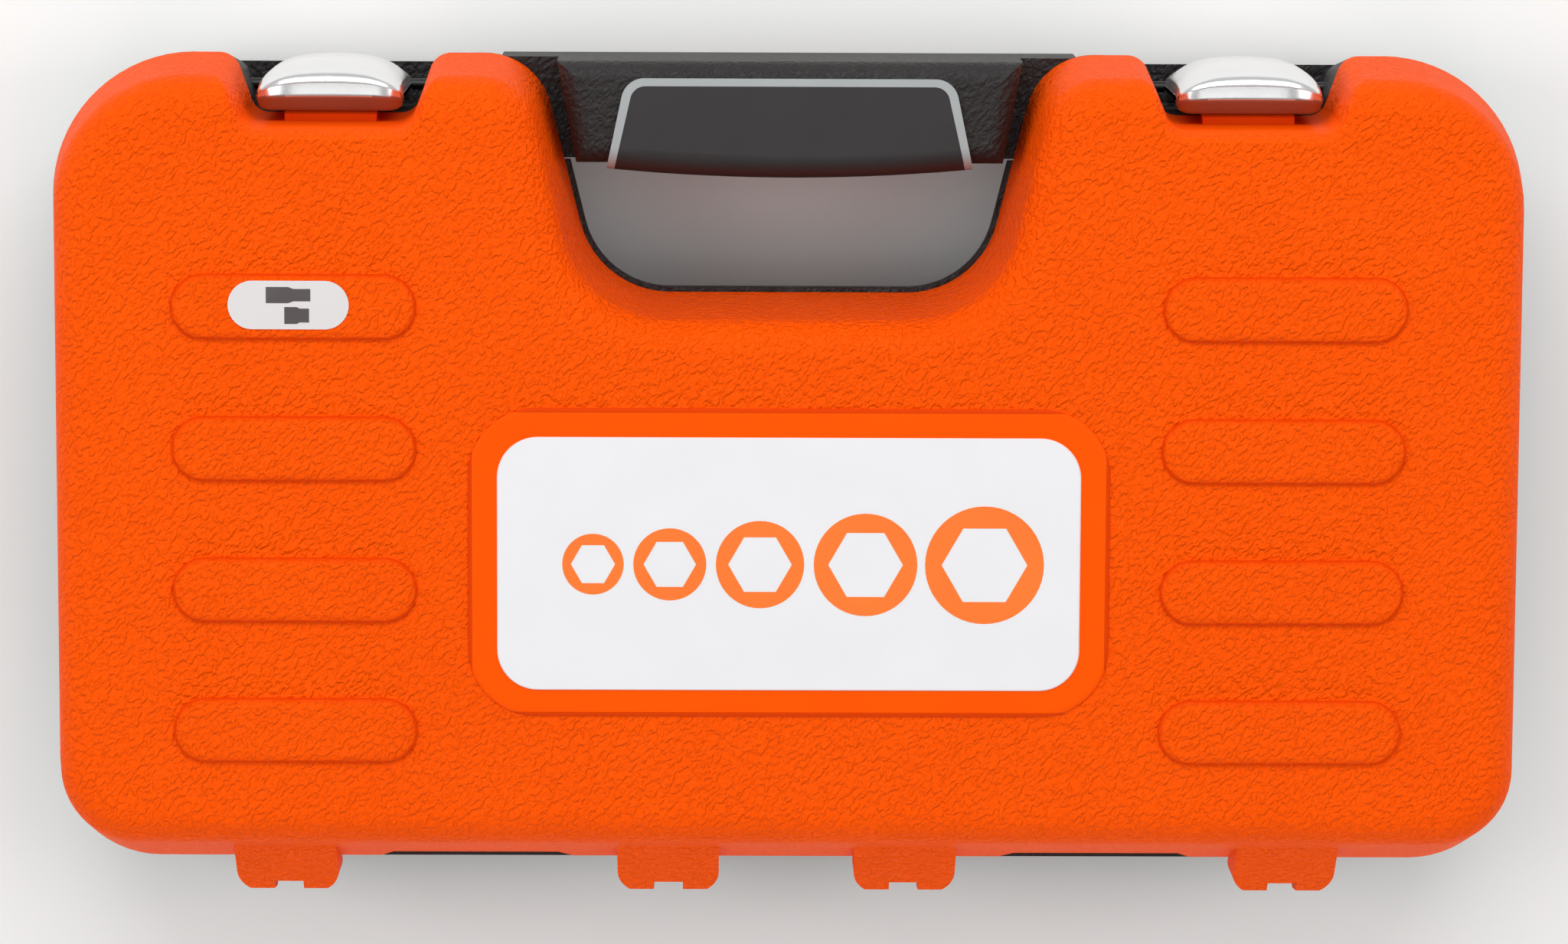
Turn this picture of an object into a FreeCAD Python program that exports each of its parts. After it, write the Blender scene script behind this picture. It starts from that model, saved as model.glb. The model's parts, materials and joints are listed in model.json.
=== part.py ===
import FreeCAD, Part
import math
import os

# Socket wrench set in a moulded carrying case. Millimetres. The closed set lies on the back of its base:
# X runs across the case, Y towards the carrying handle, Z up out of the lid. Origin under the middle.
Vec = FreeCAD.Vector
doc = FreeCAD.newDocument("socket_set")

SIZES = [
    # case outline
    ("case_width", 390.0), ("top_edge", 112.25), ("bottom_edge", -103.85), ("split_level", 40.0),
    ("case_depth", 80.0), ("rim_gap", 0.3), ("wall", 3.5), ("draft_angle", 7.0),
    ("hinge_side_draft", 17.0), ("edge_round", 10.0), ("corner_top", 38.0), ("corner_bottom", 27.0),
    ("cavity_top", 89.0), ("hinge_wall", 7.0),
    # hand opening and handle
    ("opening_floor", 48.9), ("opening_half", 50.64), ("opening_lean", 14.0), ("opening_corner", 24.5),
    ("shoulder_round", 18.0), ("handle_low", 84.6), ("handle_high", 111.3), ("handle_half_low", 56.0),
    ("handle_half_high", 61.0), ("handle_back", 20.0), ("handle_front", 60.0), ("handle_round", 5.0),
    ("grip_half_low", 47.0), ("grip_half_high", 41.0), ("grip_thick", 1.2), ("grip_belly", 3.9),
    ("grip_high", 105.0), ("trim_width", 2.0),
    # latches
    ("latch_offset", 120.0), ("latch_width", 38.4), ("latch_crown", 3.6), ("latch_corner", 7.0),
    ("latch_foot_corner", 4.0), ("latch_out", 112.0), ("latch_tip", 98.4), ("latch_top", 68.0),
    ("latch_pivot_y", 102.5), ("latch_pivot_z", 20.0), ("latch_barrel", 4.5), ("latch_pin", 3.0),
    ("latch_pin_play", 0.15), ("notch_floor", 96.4), ("notch_floor_front", 92.2), ("notch_width", 42.0),
    ("notch_flare", 53.0), ("notch_back", 6.0), ("notch_corner", 5.0), ("notch_roll", 6.0),
    ("catch_width", 24.0), ("catch_reach", 98.0),
    # hinges
    ("hinge_y", -108.25), ("lump_round", 4.0), ("lump_width", 27.0), ("lump_inner", 31.5),
    ("lump_outer", 133.0), ("lump_top", 64.0), ("lump_corner", 7.0), ("ear_width", 7.0),
    ("ear_round", 2.75), ("ear_play", 0.4), ("hood_end", 92.0), ("hinge_pin", 2.5), ("hinge_pin_play", 0.15),
    ("relief_depth", 3.0), ("relief_from", 56.0), ("relief_to", 110.0),
    # lid face
    ("pad_offset", 128.7), ("pad_first", 48.8), ("pad_pitch", 37.1), ("pad_length", 64.0),
    ("pad_height", 17.35), ("pad_rise", 1.6), ("pad_slope", 2.4), ("plate_half", 83.7), ("plate_high", 22.75),
    ("plate_low", -58.55), ("plate_corner", 18.0), ("plate_rise", 0.8), ("plate_slope", 1.4),
    ("inlay_half", 76.0), ("inlay_high", 15.15), ("inlay_low", -51.45), ("inlay_corner", 10.6),
    ("inlay_thick", 0.5), ("label_x", -129.8), ("label_y", 49.45), ("label_length", 31.3),
    ("label_height", 12.6), ("label_thick", 0.3),
    # insert and liner
    ("tray_top", 36.0), ("tray_thick", 2.0), ("tub_wall", 2.0), ("pocket_play", 0.25), ("tool_level", 30.0),
    ("liner_low", 42.0), ("liner_high", 55.0), ("liner_thick", 2.0),
    # drive tools
    ("drive_square", 12.7), ("square_length", 16.0), ("square_depth", 15.0), ("square_play", 0.3),
    ("extension_shaft", 13.0), ("extension_collar", 22.0), ("ball_size", 4.0), ("ball_show", 0.9),
    ("head_inset", 37.0), ("head_y", 5.0), ("head_radius", 20.0), ("head_low", 21.0),
    ("head_high", 45.0), ("gear_radius", 11.0), ("gear_teeth", 24.0), ("tooth_depth", 1.0),
    ("gear_low", 25.6), ("gear_high", 40.6), ("case_bore", 15.0), ("shaft_radius", 9.2),
    ("shaft_play", 0.2), ("cover_radius", 18.0), ("cover_thick", 3.0), ("lever_hub", 8.0),
    ("lever_thick", 2.2), ("lever_reach", 17.0), ("button_radius", 3.0), ("shank_radius", 7.5),
    ("grip_radius", 13.0), ("grip_inset", 187.0), ("handle_inset", 103.0), ("bar_inset", 15.0),
    ("bar_share", 0.641), ("stub_inset", 32.0), ("stub_share", 0.1923), ("short_inset", 61.0),
    ("short_share", 0.3205), ("plug_inset", 89.0), ("row_inset", 22.0), ("shoulder_inset", 82.0),
    ("shoulder_pitch", 24.0), ("row_start", -90.0), ("shoulder_start", 45.5), ("bar_y", -29.0),
    ("short_y", 30.0), ("plug_y", 28.5),
]

sheet = doc.addObject("Spreadsheet::Sheet", "Sheet")
for row, (alias, value) in enumerate(SIZES, 1):
    sheet.set("A%d" % row, alias)
    sheet.set("B%d" % row, str(value))
    sheet.setAlias("B%d" % row, alias)
doc.recompute()


def size(alias):
    return float(getattr(sheet, alias))


nodes = {}


def node(part, name):
    part.Label = name
    nodes[name] = part
    return part


def primitive(kind, name, at=("0", "0", "0"), turn=None, **sizes):
    """One Part primitive whose sizes and position follow formulas on the sheet."""
    part = doc.addObject("Part::" + kind, name)
    if turn is not None:
        part.Placement = FreeCAD.Placement(Vec(), turn)
    for prop, text in sizes.items():
        part.setExpression(prop, text)
    for axis, text in zip("xyz", at):
        part.setExpression("Placement.Base." + axis, text)
    return part


def fused(name, parts):
    whole = doc.addObject("Part::MultiFuse", name)
    whole.Shapes = parts
    return whole


def cut(name, base, tools):
    tool = tools[0] if len(tools) == 1 else fused(name + "_tool", tools)
    part = doc.addObject("Part::Cut", name)
    part.Base = base
    part.Tool = tool
    return part


def solid(name, shape):
    part = doc.addObject("Part::Feature", name)
    part.Shape = shape
    return part


# Plan outlines

def rounded(points, radii, level, inset=0.0, first=None):
    """Closed counter-clockwise outline with rounded corners, moved inwards by inset (first for side one)."""
    count = len(points)
    insets = [inset] * count
    if first is not None:
        insets[0] = first
    sides = []
    for i in range(count):
        a = points[i]
        b = points[(i + 1) % count]
        length = math.hypot(b[0] - a[0], b[1] - a[1])
        along = ((b[0] - a[0]) / length, (b[1] - a[1]) / length)
        sides.append(((a[0] - along[1] * insets[i], a[1] + along[0] * insets[i]), along))
    ends = []
    for i in range(count):
        (p, d) = sides[i - 1]
        (q, e) = sides[i]
        cross = d[0] * e[1] - d[1] * e[0]
        step = ((q[0] - p[0]) * e[1] - (q[1] - p[1]) * e[0]) / cross
        x = p[0] + d[0] * step
        y = p[1] + d[1] * step
        shift = (insets[i - 1] + insets[i]) / 2
        radius = radii[i] - shift if cross > 0 else radii[i] + shift
        turn = math.atan2(cross, d[0] * e[0] + d[1] * e[1])
        back = radius * math.tan(abs(turn) / 2)
        inward = Vec(e[0] - d[0], e[1] - d[1], 0).normalize()
        middle = Vec(x, y, level) + inward * (radius / math.cos(turn / 2) - radius)
        ends.append((Vec(x - d[0] * back, y - d[1] * back, level), middle,
                     Vec(x + e[0] * back, y + e[1] * back, level)))
    edges = []
    for i in range(count):
        edges.append(Part.Arc(*ends[i]).toShape())
        edges.append(Part.makeLine(ends[i][2], ends[(i + 1) % count][0]))
    return Part.Wire(edges)


def rectangle(half, low, high):
    return [(-half, low), (half, low), (half, high), (-half, high)]


def stadium(x, y, length, height, level):
    r = height / 2
    run = length / 2 - r
    edges = [
        Part.makeLine(Vec(x - run, y - r, level), Vec(x + run, y - r, level)),
        Part.Arc(Vec(x + run, y - r, level), Vec(x + run + r, y, level), Vec(x + run, y + r, level)).toShape(),
        Part.makeLine(Vec(x + run, y + r, level), Vec(x - run, y + r, level)),
        Part.Arc(Vec(x - run, y + r, level), Vec(x - run - r, y, level), Vec(x - run, y - r, level)).toShape(),
    ]
    return Part.Wire(edges)


def loft(*wires):
    return Part.makeLoft(list(wires), True, True)


def prism(points, axis, start, length):
    """Polygon given as pairs, extruded along one axis (pairs are the other two axes in X, Y, Z order)."""
    place = {"x": lambda u, v: Vec(start, u, v), "y": lambda u, v: Vec(u, start, v),
             "z": lambda u, v: Vec(u, v, start)}[axis]
    corners = [place(u, v) for u, v in points]
    run = {"x": Vec(length, 0, 0), "y": Vec(0, length, 0), "z": Vec(0, 0, length)}[axis]
    return Part.Face(Part.makePolygon(corners + corners[:1])).extrude(run)


def block(x0, x1, y0, y1, z0, z1):
    return Part.makeBox(x1 - x0, y1 - y0, z1 - z0, Vec(x0, y0, z0))


def rod(radius, x0, x1, y, z):
    return Part.makeCylinder(radius, x1 - x0, Vec(x0, y, z), Vec(1, 0, 0))


def post(radius, z0, z1, x, y):
    return Part.makeCylinder(radius, z1 - z0, Vec(x, y, z0))


half = size("case_width") / 2
top = size("top_edge")
bottom = size("bottom_edge")
split = size("split_level")
face = size("case_depth")
wall = size("wall")
draft = math.tan(math.radians(size("draft_angle")))
lid_hinge_draft = math.tan(math.radians(size("hinge_side_draft")))
lean = math.tan(math.radians(size("opening_lean")))
floor_y = size("opening_floor")


def opening_side(y):
    return size("opening_half") + (y - floor_y) * lean


outer_points = [(-half, bottom), (half, bottom), (half, top), (opening_side(top), top),
                (size("opening_half"), floor_y), (-size("opening_half"), floor_y),
                (-opening_side(top), top), (-half, top)]
outer_radii = [size("corner_bottom"), size("corner_bottom"), size("corner_top"), size("shoulder_round"),
               size("opening_corner"), size("opening_corner"), size("shoulder_round"), size("corner_top")]
cave_top = size("cavity_top")
cave_side = wall / math.cos(math.radians(size("opening_lean")))
cave_floor = floor_y - wall
cave_foot = opening_side(cave_floor) + cave_side
cave_points = [(-half + wall, bottom + size("hinge_wall")), (half - wall, bottom + size("hinge_wall")),
               (half - wall, cave_top), (opening_side(cave_top) + cave_side, cave_top), (cave_foot, cave_floor),
               (-cave_foot, cave_floor), (-opening_side(cave_top) - cave_side, cave_top),
               (-half + wall, cave_top)]
cave_radii = [size("corner_bottom") - wall, size("corner_bottom") - wall, size("corner_top") - wall, 14.0,
              size("opening_corner") + wall, size("opening_corner") + wall, 14.0, size("corner_top") - wall]


def outer_form(level, sign, depth, hinge_draft):
    """Drafted outside of one half, from the split at level to depth away from it, with a rounded edge."""
    rim = rounded(outer_points, outer_radii, level)
    far = rounded(outer_points, outer_radii, level + sign * depth, depth * draft, depth * hinge_draft)
    form = loft(rim, far)
    flat = [f for f in form.Faces if abs(f.CenterOfMass.z - level - sign * depth) < 1e-6][0]
    return form.makeFillet(size("edge_round"), flat.Edges)


def cave_form(level, sign, near, depth, hinge_draft, inset=0.0):
    """Drafted inside of one half, between near and depth measured from the split at level."""
    return loft(*[rounded(cave_points, cave_radii, level + sign * z, inset + z * draft, inset + z * hinge_draft)
                  for z in (near, depth)])


def latch_centres():
    return [-size("latch_offset"), size("latch_offset")]


def lump_centres():
    return [-size("lump_outer"), -size("lump_inner"), size("lump_inner"), size("lump_outer")]


def notch_form(centre, sections):
    """Space for one latch: rounded floor corners, sides flaring and rolling out into the top edge.

    Each section is (level, floor, top edge there, how far the outline is rolled outwards)."""
    a = size("notch_width") / 2
    b = size("notch_flare") / 2
    far = b + 14.0
    radii = [size("notch_corner")] * 2 + [size("notch_roll"), 4.0, 1.0, 1.0, 4.0, size("notch_roll")]
    wires = []
    for level, floor, rim, roll in sections:
        points = [(-a, floor), (a, floor), (b, rim), (far, rim), (far, rim + 12.0), (-far, rim + 12.0),
                  (-far, rim), (-b, rim)]
        wires.append(rounded([(centre + x, y) for x, y in points], radii, level, -roll))
    return loft(*wires)


def lid_notch(centre):
    """Notch in the lid, leaning inwards to the front and rolled over into the lid face."""
    sections = []
    for level, roll in ((split - 1, 0.0), (face - 6.0, 0.0), (face - 2.6, 0.5), (face - 0.8, 1.5),
                        (face + 0.3, 3.0)):
        share = (level - split) / (face - split)
        floor = size("notch_floor") + share * (size("notch_floor_front") + 2.6 - size("notch_floor"))
        sections.append((level, floor, top + 0.1 - max(level - split, 0.0) * draft, roll))
    return notch_form(centre, sections)


def domed(name):
    """Inset and height of the steps from the foot of a raised field to its flat top."""
    rise = size(name + "_rise")
    slope = size(name + "_slope")
    return [(0.0, -0.4), (0.1 * slope, 0.45 * rise), (0.4 * slope, 0.8 * rise), (slope, rise)]


# Lid: drafted moulding with pads, badge plate, latch notches and hinge lumps

def lid_shape():
    depth = face - split
    lid = outer_form(split, 1, depth, lid_hinge_draft)
    pads = []
    for side in (-1, 1):
        for i in range(4):
            x = side * size("pad_offset")
            y = size("pad_first") - i * size("pad_pitch")
            pads.append(loft(*[stadium(x, y, size("pad_length") - 2 * inset, size("pad_height") - 2 * inset,
                                       face + rise) for inset, rise in domed("pad")]))
    plate = rectangle(size("plate_half"), size("plate_low"), size("plate_high"))
    corners = [size("plate_corner")] * 4
    pads.append(loft(*[rounded(plate, corners, face + rise, inset) for inset, rise in domed("plate")]))
    lid = lid.fuse(pads)
    lid = lid.cut(cave_form(split, 1, 0, depth - wall, lid_hinge_draft))
    # shallow relief in the hinge edge between the lumps
    y = bottom + size("relief_depth")
    for side in (-1, 1):
        a = side * size("relief_from")
        b = side * size("relief_to")
        s = side * 5.0
        tall = size("relief_depth") / lid_hinge_draft + 4.0
        lid = lid.cut(prism([(a, bottom - 1), (b, bottom - 1), (b - s, y), (a + s, y)], "z", split - 1, tall))
    for centre in latch_centres():
        lid = lid.cut(lid_notch(centre))
        reach = size("catch_width") / 2
        under = size("latch_top") - 7.6
        profile = [(size("notch_floor_front") - 1, under - 8.0), (size("catch_reach"), under - 5.0),
                   (size("catch_reach"), under - 0.6), (size("catch_reach") - 0.6, under),
                   (size("notch_floor_front") - 1, under)]
        lid = lid.fuse(prism(profile, "x", centre - reach, 2 * reach))
    # hinge lumps: rounded hoods with a slot for the ear of the base
    hy = size("hinge_y")
    r = size("lump_round")
    tall = size("lump_top")
    for centre in lump_centres():
        x0 = centre - size("lump_width") / 2
        x1 = x0 + size("lump_width")
        inner = bottom + 4.0
        web = prism([(hy - r, split), (hy - 0.72 * r, split + 9.0),
                     (bottom + (tall - split) * lid_hinge_draft, tall), (inner + 8.0, tall),
                     (inner, split), (hy, split)], "x", x0, size("lump_width"))
        lump = rod(r, x0, x1, hy, split).fuse(web)
        plan = rounded([(x0, hy - r), (x1, hy - r), (x1, inner + 10.0), (x0, inner + 10.0)],
                       [size("lump_corner")] * 2 + [0.5, 0.5], split - 10)
        lump = lump.common(Part.Face(plan).extrude(Vec(0, 0, 60)))
        lid = lid.fuse(lump)
        s0 = centre - size("ear_width") / 2 - size("ear_play")
        width = size("ear_width") + 2 * size("ear_play")
        angle = math.radians(size("hood_end"))
        far = 30.0
        sweep = prism([(hy, split), (hy + far * math.cos(angle), split + far * math.sin(angle)),
                       (hy - far, split), (hy - far, split - far), (hy + far, split - far),
                       (hy + far, split - 0.27 * far)], "x", s0, width)
        bore = rod(size("ear_round") + 0.3, s0, s0 + width, hy, split)
        rim = block(s0, s0 + width, hy, bottom + 0.01, split - 10, split)
        kept = block(s0 - 1, s0 + width + 1, hy + 4.2, hy + 40, split, split + 40)
        lid = lid.cut(sweep.cut(kept).fuse([bore, rim]))
        lid = lid.cut(rod(size("hinge_pin") / 2 + size("hinge_pin_play"), x0 - 1, centre + 12.0, hy, split))
    return lid.removeSplitter()


node(solid("lid_solid", lid_shape()), "lid_shell")

liner = cave_form(split, 1, size("liner_low") - split, size("liner_high") - split, lid_hinge_draft)
liner = liner.cut(cave_form(split, 1, size("liner_low") - split - 1,
                            size("liner_high") - split - size("liner_thick"), lid_hinge_draft,
                            size("liner_thick")))
node(solid("liner_solid", liner), "lid_liner")

plate_top = face + size("plate_rise")
inlay = rectangle(size("inlay_half"), size("inlay_low"), size("inlay_high"))
inlay_corners = [size("inlay_corner")] * 4
node(solid("inlay_solid", loft(rounded(inlay, inlay_corners, plate_top),
                               rounded(inlay, inlay_corners, plate_top + size("inlay_thick"), 0.3))),
     "badge_inlay")
pad_top = face + size("pad_rise")
node(solid("label_solid", loft(stadium(size("label_x"), size("label_y"), size("label_length"),
                                       size("label_height"), pad_top),
                               stadium(size("label_x"), size("label_y"), size("label_length"),
                                       size("label_height"), pad_top + size("label_thick")))), "contents_label")

# Base: drafted moulding with the carrying handle, latch notches and hinge ears

rim_level = split - size("rim_gap")


def handle_shape():
    low = size("handle_low")
    high = size("handle_high")
    a = size("handle_half_low")
    b = size("handle_half_high")
    bar = prism([(-a, low), (a, low), (b, high), (-b, high)], "z", size("handle_back"),
                size("handle_front") - size("handle_back"))
    front = [e for e in bar.Edges if abs(e.CenterOfMass.z - size("handle_front")) < 1e-6]
    back = [e for e in bar.Edges if abs(e.CenterOfMass.z - size("handle_back")) < 1e-6
            and e.BoundBox.XLength > 50]
    bar = bar.makeFillet(size("handle_round"), front + back)
    reach = 3.0
    root = prism([(-opening_side(low) - reach, low), (opening_side(low) + reach, low),
                  (opening_side(high) + 10.0, high), (-opening_side(high) - 10.0, high)], "z",
                 size("handle_back"), rim_level - size("handle_back"))
    return bar.fuse(root)


def base_shape():
    base = outer_form(rim_level, -1, rim_level, draft)
    base = base.cut(cave_form(rim_level, -1, 0, rim_level - wall, draft))
    base = base.fuse(handle_shape())
    for centre in latch_centres():
        back = size("notch_back")
        base = base.cut(notch_form(centre, [(back, size("notch_floor"), top - (rim_level - back) * draft, 0.0),
                                            (split + 1, size("notch_floor"), top + 0.1, 0.0)]))
        base = base.cut(rod(size("latch_pin") / 2, centre - 27, centre + 27, size("latch_pivot_y"),
                            size("latch_pivot_z")))
    hy = size("hinge_y")
    r = size("ear_round")
    for centre in lump_centres():
        x0 = centre - size("ear_width") / 2
        arm = prism([(hy + 0.4, split - r + 0.03), (hy + 1.0, split - 8.0), (bottom + 2.5, split - 20.0),
                     (bottom + 4.0, split - 20.0), (bottom + 4.0, rim_level), (bottom + 0.6, rim_level),
                     (hy + r * 0.75, split - r * 0.66)], "x", x0, size("ear_width"))
        ear = rod(r, x0, x0 + size("ear_width"), hy, split).fuse(arm)
        base = base.fuse(ear)
        base = base.cut(rod(size("hinge_pin") / 2, x0 - 1, x0 + size("ear_width") + 1, hy, split))
    return base.removeSplitter()


node(solid("base_solid", base_shape()), "base_shell")

pins = []
for index, centre in enumerate(("-Sheet.lump_outer", "-Sheet.lump_inner", "Sheet.lump_inner",
                                "Sheet.lump_outer")):
    pins.append(primitive("Cylinder", "hinge_pin_%d" % index, turn=FreeCAD.Rotation(Vec(0, 1, 0), 90),
                          at=(centre + " - Sheet.lump_width / 2 + 1.5", "Sheet.hinge_y", "Sheet.split_level"),
                          Radius="Sheet.hinge_pin / 2", Height="Sheet.lump_width / 2 + 10"))
pin_set = doc.addObject("Part::Compound", "hinge_pin_set")
pin_set.Links = pins
node(pin_set, "hinge_pins")

pins = []
for index, centre in enumerate(("-Sheet.latch_offset", "Sheet.latch_offset")):
    pins.append(primitive("Cylinder", "latch_pin_%d" % index, turn=FreeCAD.Rotation(Vec(0, 1, 0), 90),
                          at=(centre + " - 26", "Sheet.latch_pivot_y", "Sheet.latch_pivot_z"),
                          Radius="Sheet.latch_pin / 2", Height="52"))
pin_set = doc.addObject("Part::Compound", "latch_pin_set")
pin_set.Links = pins
node(pin_set, "latch_pins")


def latch_shape(centre):
    py = size("latch_pivot_y")
    pz = size("latch_pivot_z")
    r = size("latch_barrel")
    w = size("latch_width") / 2
    out = size("latch_out")
    tip = size("latch_tip")
    nose = size("latch_top")
    # side view: barrel, arm and nose, with a sloping front
    profile = [(py - 1.5, pz - r + 0.1), (out - 3.4, pz - r + 0.1), (out, pz + 14.0), (out, nose - 4.0),
               (out - 3.6, nose), (tip, nose - 3.4), (tip, nose - 7.0), (out - 4.4, nose - 9.4),
               (out - 4.4, pz + 6.0), (py - 1.5, pz + 3.6)]
    radii = [1.0, 3.0, 12.0, 3.0, 3.0, 2.0, 1.4, 2.5, 3.0, 1.0]
    side = Part.Face(rounded(profile, radii, 0.0))
    side.Placement = FreeCAD.Placement(Vec(centre - w, 0, 0), FreeCAD.Rotation(Vec(1, 1, 1), 120))
    body = side.extrude(Vec(2 * w, 0, 0)).fuse(rod(r, centre - w, centre + w, py, pz))
    # plan view: crowned outside with rounded ends
    shoulder = out - size("latch_crown")
    back = min(py - r, tip)
    crown = Part.Arc(Vec(centre - w, shoulder, 0), Vec(centre, out, 0), Vec(centre + w, shoulder, 0)).toShape()
    plan = Part.Wire([crown, Part.makeLine(Vec(centre + w, shoulder, 0), Vec(centre + w, back, 0)),
                      Part.makeLine(Vec(centre + w, back, 0), Vec(centre - w, back, 0)),
                      Part.makeLine(Vec(centre - w, back, 0), Vec(centre - w, shoulder, 0))])
    plan = Part.Face(plan).extrude(Vec(0, 0, face + 20))
    plan = plan.makeFillet(size("latch_corner"), [e for e in plan.Edges if e.BoundBox.ZLength > face
                                                  and abs(e.CenterOfMass.y - shoulder) < 0.1])
    plan = plan.makeFillet(size("latch_foot_corner"), [e for e in plan.Edges if e.BoundBox.ZLength > face
                                                       and abs(e.CenterOfMass.y - back) < 0.1])
    body = body.common(plan)
    return body.cut(rod(size("latch_pin") / 2 + size("latch_pin_play"), centre - w - 1, centre + w + 1, py, pz))


for centre, name in zip(latch_centres(), ("latch_left", "latch_right")):
    node(solid(name + "_solid", latch_shape(centre).removeSplitter()), name)


# Grip panel and its light border on the handle

def grip_plan(grow):
    a = size("grip_half_low") + grow
    b = size("grip_half_high") + grow
    low = size("handle_low")
    high = size("grip_high") + grow
    corners = [1.0, 1.0, 4.0 + grow, 4.0 + grow]
    return rounded([(-a, low - 6.0), (a, low - 6.0), (b, high), (-b, high)], corners, 0.0)


def grip_shapes():
    """Soft sleeve round the front and the belly of the handle bar, and the border that edges it."""
    front = size("handle_front")
    thick = size("grip_thick")
    low = size("handle_low")
    back = size("handle_back") + 6.0
    reach = size("handle_half_low") - 4.0
    belly = Part.Arc(Vec(-reach, low - thick, back), Vec(0, low - size("grip_belly"), back),
                     Vec(reach, low - thick, back)).toShape()
    high = size("handle_high")
    outline = Part.Wire([belly, Part.makeLine(Vec(reach, low - thick, back), Vec(reach, high, back)),
                         Part.makeLine(Vec(reach, high, back), Vec(-reach, high, back)),
                         Part.makeLine(Vec(-reach, high, back), Vec(-reach, low - thick, back))])
    sleeve = Part.Face(outline).extrude(Vec(0, 0, front + thick - back))
    lips = [e for e in sleeve.Edges if e.BoundBox.XLength > reach and e.BoundBox.ZLength < 0.1
            and e.CenterOfMass.y < low]
    sleeve = sleeve.makeFillet(size("handle_round") + thick, lips).cut(handle_shape())
    inner = Part.Face(grip_plan(0.0)).extrude(Vec(0, 0, face + 20))
    outer = Part.Face(grip_plan(size("trim_width"))).extrude(Vec(0, 0, face + 20))
    return sleeve.common(inner), sleeve.common(outer).cut(inner)


panel, rim = grip_shapes()
node(solid("grip_panel_solid", panel), "grip_panel")
node(solid("grip_trim_solid", rim), "grip_trim")


# Tools: turned pieces are stacks of cylinders and cones along one axis

ALONG = {"x": FreeCAD.Rotation(Vec(0, 1, 0), 90), "y": FreeCAD.Rotation(Vec(1, 0, 0), -90),
         "z": FreeCAD.Rotation()}


def shifted(at, axis, text):
    place = list(at)
    index = "xyz".index(axis)
    place[index] = "(%s) + (%s)" % (place[index], text)
    return tuple(place)


def turned(name, axis, at, stations):
    """Stations are (length, first radius, last radius) as formulas, one after the other from at."""
    parts = []
    start = "0"
    for i, (length, first, last) in enumerate(stations):
        kind = "Cylinder" if first == last else "Cone"
        radii = {"Radius": first} if first == last else {"Radius1": first, "Radius2": last}
        parts.append(primitive(kind, "%s_step_%d" % (name, i), shifted(at, axis, start), ALONG[axis],
                               Height=length, **radii))
        start = "%s + %s" % (start, length)
    return fused(name + "_turned", parts)


def square_bar(name, axis, at, side, length):
    """Square bar centred on its axis, starting at at."""
    place = {"x": (at[0], "(%s) - (%s) / 2" % (at[1], side), "(%s) - (%s) / 2" % (at[2], side)),
             "y": ("(%s) - (%s) / 2" % (at[0], side), at[1], "(%s) - (%s) / 2" % (at[2], side)),
             "z": ("(%s) - (%s) / 2" % (at[0], side), "(%s) - (%s) / 2" % (at[1], side), at[2])}[axis]
    sizes = {"Length": side, "Width": side, "Height": side}
    sizes[{"x": "Length", "y": "Width", "z": "Height"}[axis]] = length
    return primitive("Box", name, place, **sizes)


troughs = []


def trough(axis, start, length, across, radius):
    troughs.append((axis, start, length, across, radius))


def socket(name, across_flats, nut_radius, drive_radius, length, axis, at, deep=0.5):
    """Six-point socket: nut end at the start, drive square at the far end, lying along axis from at."""
    neck = 0.55 * length
    slope = abs(nut_radius - drive_radius) * 0.8
    stations = [("0.8", "%s - 0.8" % nut_radius, "%s" % nut_radius),
                ("%s" % (neck - 0.8 - slope), "%s" % nut_radius, "%s" % nut_radius)]
    if slope > 0:
        stations.append(("%s" % slope, "%s" % nut_radius, "%s" % drive_radius))
    tail = length - neck
    stations += [("%s" % (tail - 8.8), "%s" % drive_radius, "%s" % drive_radius),
                 ("1", "%s" % drive_radius, "%s - 0.7" % drive_radius),
                 ("2", "%s - 0.7" % drive_radius, "%s - 0.7" % drive_radius),
                 ("1", "%s - 0.7" % drive_radius, "%s" % drive_radius),
                 ("4", "%s" % drive_radius, "%s" % drive_radius),
                 ("0.8", "%s" % drive_radius, "%s - 0.8" % drive_radius)]
    place = (str(at[0]), str(at[1]), "Sheet.tool_level")
    body = turned(name, axis, place, stations)
    hexagon = primitive("Prism", name + "_hex", shifted(place, axis, "-1"), ALONG[axis],
                        Circumradius="%s / cos(30)" % ((across_flats + 0.2) / 2),
                        Height="%s" % (1 + deep * length))
    hexagon.Polygon = 6
    lead = primitive("Cone", name + "_lead", place, ALONG[axis], Height="1.2",
                     Radius1="%s" % (across_flats / 2 * 1.155 + 0.6), Radius2="%s" % (across_flats / 2))
    bore = primitive("Cylinder", name + "_bore", place, ALONG[axis],
                     Radius="Sheet.drive_square / 2 - 0.6", Height="%s" % (length - 4))
    square = square_bar(name + "_square", axis, shifted(place, axis, "%s - Sheet.square_depth" % length),
                        "Sheet.drive_square + Sheet.square_play", "Sheet.square_depth + 1")
    node(cut(name + "_cut", body, [hexagon, lead, bore, square]), name)
    across = at[0] if axis == "y" else at[1]
    start = at[1] if axis == "y" else at[0]
    trough(axis, start, length, across, max(nut_radius, drive_radius))


# large sockets in one row along the hinge side
row = [(18, 12.5, 38.0), (19, 13.2, 38.0), (21, 14.5, 40.0), (22, 15.0, 40.0), (24, 16.5, 42.0),
       (27, 18.2, 44.0), (30, 20.4, 45.0), (32, 21.4, 46.0)]
step = (2 * half - 2 * size("row_inset") - sum(2 * r for _, r, _ in row)) / (len(row) - 1)
x = -half + size("row_inset")
for across_flats, radius, length in row:
    socket("socket_%d" % across_flats, across_flats, radius, radius, length, "y",
           (round(x + radius, 2), size("row_start")))
    x += 2 * radius + step

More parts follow.
